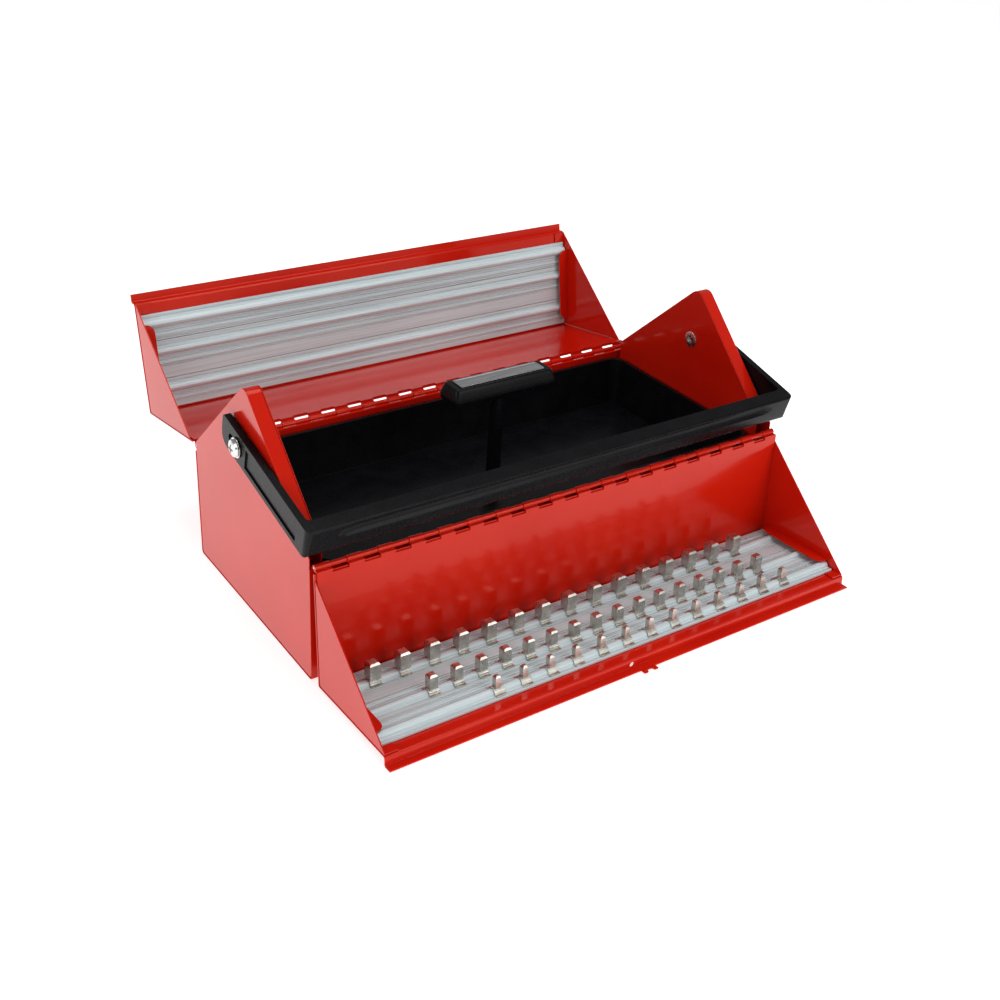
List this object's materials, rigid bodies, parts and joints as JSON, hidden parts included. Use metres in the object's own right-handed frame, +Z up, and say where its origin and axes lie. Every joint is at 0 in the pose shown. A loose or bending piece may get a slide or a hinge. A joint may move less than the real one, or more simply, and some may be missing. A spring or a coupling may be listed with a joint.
{
  "type": "toolbox with tray",
  "caption": "Open-topped sheet steel tool box with hinged L-shaped lids lined with socket rails, a bail handle and a lift-out plastic tray.",
  "frame": {"origin": "centre of the body's underside", "axes": "+X along the box to its right end, -Y the front, +Z up"},
  "size_m": [0.4718, 0.4423, 0.1942],
  "materials": {
    "red_enamel": "glossy red stove enamel",
    "rail_aluminium": "extruded, drawn lines along X",
    "black_plastic": "moulded, satin gloss",
    "chromed_bolt": "polished",
    "zinc_hardware": "zinc plated",
    "spring_steel": "bare spring steel",
    "bush_nylon": "plain",
    "plate_silver": "satin"
  },
  "bodies": {
    "body": {"body_shell": "red_enamel", "left_end_panel": "red_enamel", "right_end_panel": "red_enamel", "left_gable_liner": "red_enamel", "right_gable_liner": "red_enamel", "tray_ledge_left": "red_enamel", "tray_ledge_right": "red_enamel", "front_hinge_body_leaf": "red_enamel", "rear_hinge_body_leaf": "red_enamel", "front_hinge_pin": "zinc_hardware", "rear_hinge_pin": "zinc_hardware", "left_pivot_bolt": "chromed_bolt", "left_pivot_spacer": "zinc_hardware", "left_pivot_washer": "zinc_hardware", "left_pivot_nut": "zinc_hardware", "right_pivot_bolt": "chromed_bolt", "right_pivot_spacer": "zinc_hardware", "right_pivot_washer": "zinc_hardware", "right_pivot_nut": "zinc_hardware"},
    "front_lid": {"front_lid_shell": "red_enamel", "front_lid_left_end": "red_enamel", "front_lid_right_end": "red_enamel", "front_hinge_lid_leaf": "red_enamel", "hasp_tongue": "red_enamel", "front_rail_small": "rail_aluminium", "front_rail_medium": "rail_aluminium", "front_rail_large": "rail_aluminium"},
    "rear_lid": {"rear_lid_shell": "red_enamel", "rear_lid_left_end": "red_enamel", "rear_lid_right_end": "red_enamel", "rear_hinge_lid_leaf": "red_enamel", "rear_rail_small": "rail_aluminium", "rear_rail_medium": "rail_aluminium", "rear_rail_large": "rail_aluminium"},
    "handle_pivots": {"left_pivot_bush": "bush_nylon", "right_pivot_bush": "bush_nylon"},
    "handle": {"carrying_handle": "black_plastic"},
    "tray": {"tray": "black_plastic", "tray_post": "black_plastic", "tray_post_screw": "zinc_hardware", "tray_grip": "black_plastic", "tray_grip_plate": "plate_silver"},
    "clip_small": {"socket_clip_small": "spring_steel"},
    "clip_medium": {"socket_clip_medium": "spring_steel"},
    "clip_large": {"socket_clip_large": "spring_steel"}
  },
  "joints": [
    {"name": "front_lid", "type": "hinge", "parent": "body", "child": "front_lid", "pos_m": [0, -0.1028, 0.1], "axis": [1, 0, 0], "range_deg": [-176.8, 0]},
    {"name": "rear_lid", "type": "hinge", "parent": "body", "child": "rear_lid", "pos_m": [0, 0.1028, 0.1], "axis": [-1, 0, 0], "range_deg": [-99.8, 77]},
    {"name": "handle_swing", "type": "hinge", "parent": "body", "child": "handle_pivots", "pos_m": [0, 0, 0.149], "axis": [1, 0, 0], "range_deg": [-103.4, 0.1]},
    {"name": "handle_pull", "type": "slide", "parent": "handle_pivots", "child": "handle", "axis": [0, -0.9732, -0.23], "range_m": [0, 0.0095]},
    {"name": "tray_lift", "type": "slide", "parent": "body", "child": "tray", "axis": [0, 0, 1], "range_m": [0, 0.12]},
    {"name": "clip_small_slide", "type": "slide", "parent": "front_lid", "child": "clip_small", "axis": [1, 0, 0], "range_m": [-0.006, 0.006]},
    {"name": "clip_medium_slide", "type": "slide", "parent": "front_lid", "child": "clip_medium", "axis": [1, 0, 0], "range_m": [-0.006, 0.006]},
    {"name": "clip_large_slide", "type": "slide", "parent": "front_lid", "child": "clip_large", "axis": [1, 0, 0], "range_m": [-0.006, 0.006]}
  ],
  "couplings": [
    {"joint": "handle_swing", "follows": "front_lid", "ratio": 0.58428}
  ]
}
